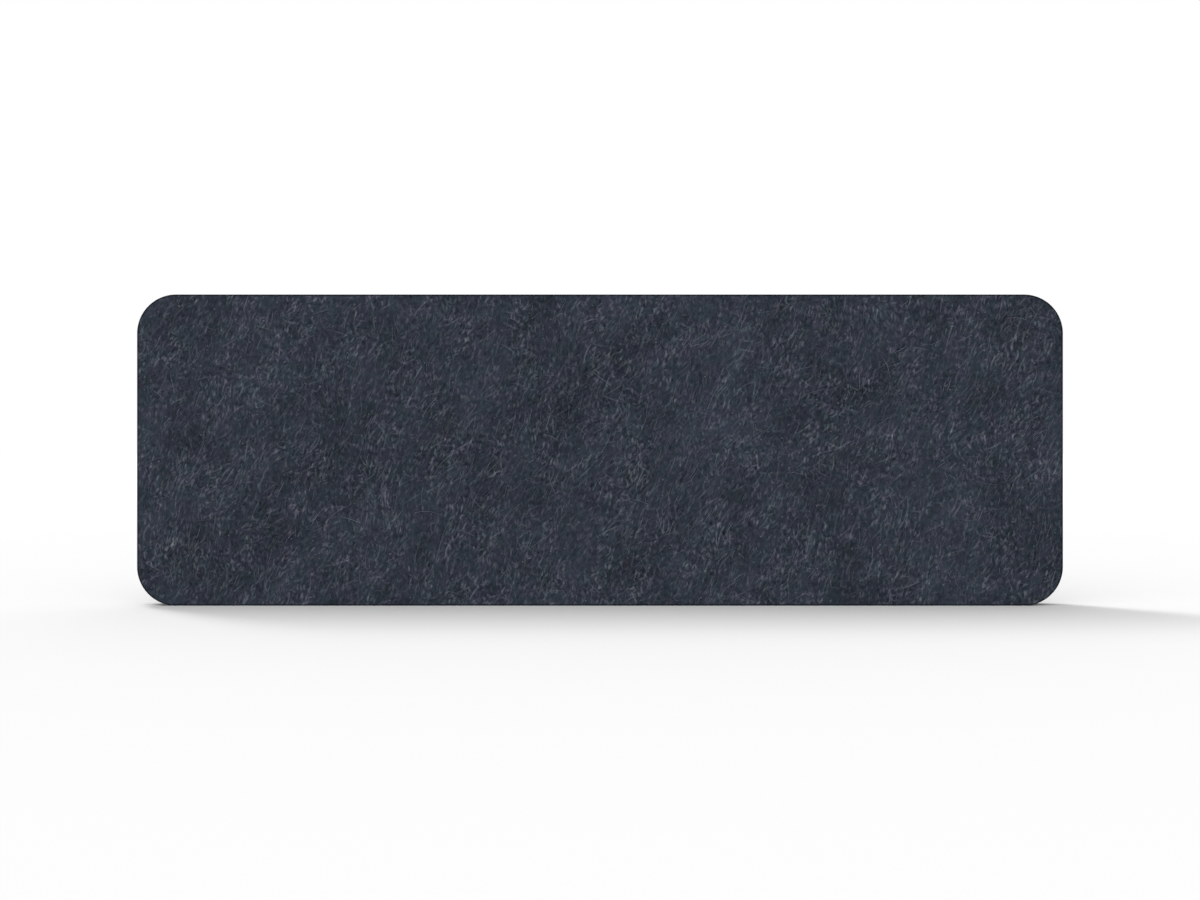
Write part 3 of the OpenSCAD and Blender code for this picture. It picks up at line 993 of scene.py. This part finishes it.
def beechMaterial(name, look):
    # Short dark flecks and broad streaks on a pinkish ground
    n = Nodes(name)
    place = n.millimetres()
    fleck = n.grain(place, look["flecks"])
    size, detail, rough, amount = look["clouds"]
    broad = n.noise(place, 1 / size, detail, rough)
    colour = n.blend(n.between(fleck, *look["fleckGrain"]), look["beech"], look["fleck"])
    colour = n.blend(n.times(broad, amount), colour, look["streak"])
    bump = n.bump(fleck, *look["beechBump"])
    return n.surface({"Base Color": colour, "Normal": bump, "Roughness": look["beechRough"],
                      "Specular IOR Level": look["gloss"]})


zincLook = {
    "bright": (0.60, 0.61, 0.62, 1),
    "dull": (0.36, 0.37, 0.39, 1),
    "roughness": (0.26, 0.50),
    "clouds": (3.5, 4, 0.65),  # size in mm, detail, roughness
    "dulling": (0.38, 0.66),  # noise at which the dull begins and is full
    "marks": ((4, 4, 0.12), 2, 0.6),  # size in mm along X, Y and Z, detail, roughness
    "bump": (0.3, 0.05 * mm),
}


def zincMaterial(name, look):
    # From bright to dull by broad clouds, which are rougher too, with fine turning marks round the axis
    n = Nodes(name)
    place = n.millimetres()
    size, detail, rough = look["clouds"]
    clouds = n.noise(place, 1 / size, detail, rough)
    marks = n.grain(place, *look["marks"])
    smooth, matt = look["roughness"]
    share = n.between(clouds, *look["dulling"])
    colour = n.blend(share, look["bright"], look["dull"])
    rough = n.timesPlus(share, matt - smooth, smooth)
    bump = n.bump(marks, *look["bump"])
    return n.surface({"Base Color": colour, "Normal": bump, "Roughness": rough, "Metallic": 1.0})


# Inserts: barbed outside, with an M6 thread inside and a slot across the mouth for the driver
insertShape = {
    "radius": 5.0 * mm,
    "barb": (0.9 * mm, 2.5 * mm),  # depth and pitch
    "collar": 2.0 * mm,
    "slot": (1.2 * mm, 1.95 * mm),  # width and depth
    "thread": (2.5 * mm, 3.0 * mm, 1.0 * mm),  # minor and major radius, and pitch
    "flank": (0.25, 0.875),  # where between crest and root the thread's flank begins and ends
    "mouth": 0.1 * mm,  # how much wider than the thread it is
    "bevel": 0.15 * mm,
    "columns": 26,  # on each side of the slot
    "threadRows": 10,  # in each turn
    "sharp": 35,  # degrees from which an edge shows
}


def insertProfile(shape, length):
    # Radius and depth of each row: over the mouth, down the barbs, over the foot and up the bore
    crest, bevel = shape["radius"], shape["bevel"]
    barb, pitch = shape["barb"]
    root, lip = crest - barb, shape["thread"][1] + shape["mouth"]
    rows = [(lip, 0), ((lip + crest) / 2, 0), (crest - bevel, 0), (crest, bevel)]
    rows.append((crest, shape["collar"] / 2))
    for start in np.arange(shape["collar"], length - pitch, pitch):
        rows += [(crest, start), (root, start + pitch - barb), (root, start + pitch - 0.1 * bevel)]
    rows += [(root, length - bevel), (root - bevel, length), (lip, length)]
    step = shape["thread"][2] / shape["threadRows"]
    bore = np.arange(length - step, step / 2, -step)
    return np.array(rows), np.stack([np.full(len(bore), lip), bore], 1)


def insertThread(shape, depth, turn, length):
    # The bore's radius runs from the minor to the major one and back with z / pitch - turn / 2 pi, and opens
    # out by 45 degrees at both ends
    minor, major, pitch = shape["thread"]
    phase = np.abs((depth / pitch - turn / (2 * math.pi)) % 1 - 0.5) * 2
    start, end = shape["flank"]
    radius = minor + (major - minor) * np.clip((phase - start) / (end - start), 0, 1)
    return np.maximum(radius, major + shape["mouth"] - np.minimum(depth, length - depth))


def insertMesh(shape, centre, length):
    # Rows go round the section and columns round the axis, with doubled columns at the slot's walls,
    # asin(w / 2r) from its middle. Columns in the slot start at its floor, and below the collar the doubled
    # ones are one.
    outside, bore = insertProfile(shape, length)
    radius, depth = np.concatenate([outside, bore]).T
    wide, deep = shape["slot"]
    wall = np.arcsin(wide / 2 / radius)[:, None]
    side = np.linspace(-1, 1, shape["columns"] + 1) * (math.pi / 2 - wall)
    gap = math.pi / 2 + np.linspace(-1, 1, 4) * wall
    turn = np.concatenate([side, gap, side + math.pi, gap + math.pi], 1)
    cut = np.zeros(turn.shape[1])
    per = side.shape[1]
    cut[per:per + 4] = cut[2 * per + 4:] = deep
    collar = shape["collar"]
    depth = depth[:, None] + 0 * turn
    z = np.where(depth < collar, cut + (collar - cut) * depth / collar, depth)
    r = np.repeat(radius[:, None], turn.shape[1], 1)
    r[len(outside):] = insertThread(shape, z, turn, length)[len(outside):]
    points = np.stack([centre[0] + r * np.cos(turn), centre[1] + r * np.sin(turn), centre[2] + z], 2)
    index = np.arange(r.size).reshape(r.shape)
    below = depth[:, 0] > collar - 0.01 * mm
    for copy, first in ((per, per - 1), (per + 3, per + 4), (2 * per + 4, 2 * per + 3), (2 * per + 7, 0)):
        index[below, copy] = index[below, first]
    over, beside = np.roll(index, -1, 0), np.roll(index, -1, 1)
    quads = np.stack([index, beside, np.roll(over, -1, 1), over], 2).reshape(-1, 4)
    same = quads == np.roll(quads, -1, 1)
    whole, thin = same.sum(1) == 0, same.sum(1) == 1
    corner = same[thin].argmax(1)[:, None] + [1, 2, 3]
    return points.reshape(-1, 3), [quads[whole], np.take_along_axis(quads[thin], corner % 4, 1)]


def insertPair(name, shape, box):
    # Two inserts, one at each end of the box
    (x0, y0, z0), (x1, y1, z1) = box
    r = shape["radius"]
    meshes = [insertMesh(shape, (x, (y0 + y1) / 2, z0), z1 - z0) for x in (x0 + r, x1 - r)]
    points = np.concatenate([m[0] for m in meshes])
    faces = [np.concatenate([meshes[0][1][k], meshes[1][1][k] + len(meshes[0][0])]) for k in range(2)]
    points, faces, _ = usedOnly(points, faces)
    piece = newMesh(name, points, faces)
    piece.data.set_sharp_from_angle(angle=math.radians(shape["sharp"]))
    return piece


zincSteel = zincMaterial("zincSteel", zincLook)
for node in ("left_inserts", "right_inserts"):
    inserts = insertPair(node + "_threaded", insertShape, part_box(node))
    inserts.data.materials.append(zincSteel)
    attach(inserts, "root")
    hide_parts(node)
print("inserts threaded")


def finishNodes(material, *nodes):
    # One material for each whole node
    for node in nodes:
        for slot in bpy.data.objects[node].material_slots:
            slot.material = material


lying = ("bottom_rail", "top_rail", "bottom_left_corner", "bottom_right_corner", "top_left_corner",
         "top_right_corner")
upright = ("left_stile", "right_stile", "left_post", "right_post")
for k, node in enumerate(lying + upright):
    finishNodes(plyMaterial(node + "_ply", woodLook, node in upright, k + 1), node)
finishNodes(beechMaterial("beechDowel", woodLook), "corner_dowels", "post_dowels")
print("wood finished")

# Floor and light: a tall strip of light behind and to the left, which throws the shadow forwards and to the
# right, a broad soft light in front, a faint strip at the foot and a white surround
studio = {
    "floor": 0.486,
    "farFloor": 0.54,  # brighter far off, so that the floor runs into the surround
    "fade": (1.5, 5.0),  # where it begins and ends, in metres
    "reach": 70.0,  # half its side
    "surround": 1.0,
    "lamps": [  # way of the light over the floor, height in degrees, strength, width in degrees
        ((0.72, -0.69), 46.5, 0.747, 13),
        ((0.72, -0.69), 55, 0.662, 13),
        ((0.72, -0.69), 66, 0.593, 13),
        ((0.72, -0.69), 80, 0.549, 13),
        ((0.25, 0.97), 50, 1.45, 70),
    ],
    "footLight": (110 * mm, 0.40),  # depth and brightness of the strip at the foot
}


def addLamp(name, kind, turn, **settings):
    # At the origin and shining down, before its turns about X, Y and Z
    data = bpy.data.lights.new(name, kind)
    for key, value in settings.items():
        setattr(data, key, value)
    lamp = bpy.data.objects.new(name, data)
    scene.collection.objects.link(lamp)
    lamp.rotation_euler = turn
    return lamp


def makeStudio(s):
    # A lamp is turned by 90 degrees less its height about X, then by its way's angle less 90 degrees about Z
    world = bpy.data.worlds.new("surround")
    world.use_nodes = True
    white = world.node_tree.nodes["Background"].inputs
    white[0].default_value, white[1].default_value = (1, 1, 1, 1), s["surround"]
    scene.world = world
    for k, (way, height, strength, width) in enumerate(s["lamps"]):
        turn = (math.radians(90 - height), 0, math.atan2(way[1], way[0]) - math.pi / 2)
        addLamp("lamp%d" % k, "SUN", turn, energy=strength, angle=math.radians(width))
    depth, glow = s["footLight"]
    power = glow * math.pi * screenWidth * depth
    sizes = {"shape": "RECTANGLE", "size": screenWidth, "size_y": depth}
    foot = addLamp("footLight", "AREA", (math.pi, 0, 0), energy=power, **sizes)
    foot.location = (0, frontFace - mm - depth / 2, mm / 2)
    foot.visible_camera = False
    n = Nodes("floorPaint")
    away = n.length(n.add("TexCoord").outputs["Object"])
    near, far = [(s[key],) * 3 + (1,) for key in ("floor", "farFloor")]
    paint = n.blend(n.between(away, *s["fade"]), near, far)
    n.surface({"Base Color": paint, "Roughness": 0.9, "Specular IOR Level": 0.0})
    corners = s["reach"] * np.array([[-1, -1, 0], [1, -1, 0], [1, 1, 0], [-1, 1, 0]])
    floor = newMesh("floor", corners, [np.array([[0, 1, 2, 3]])])
    floor.data.materials.append(n.material)
    scene.view_settings.view_transform = "Standard"


makeStudio(studio)
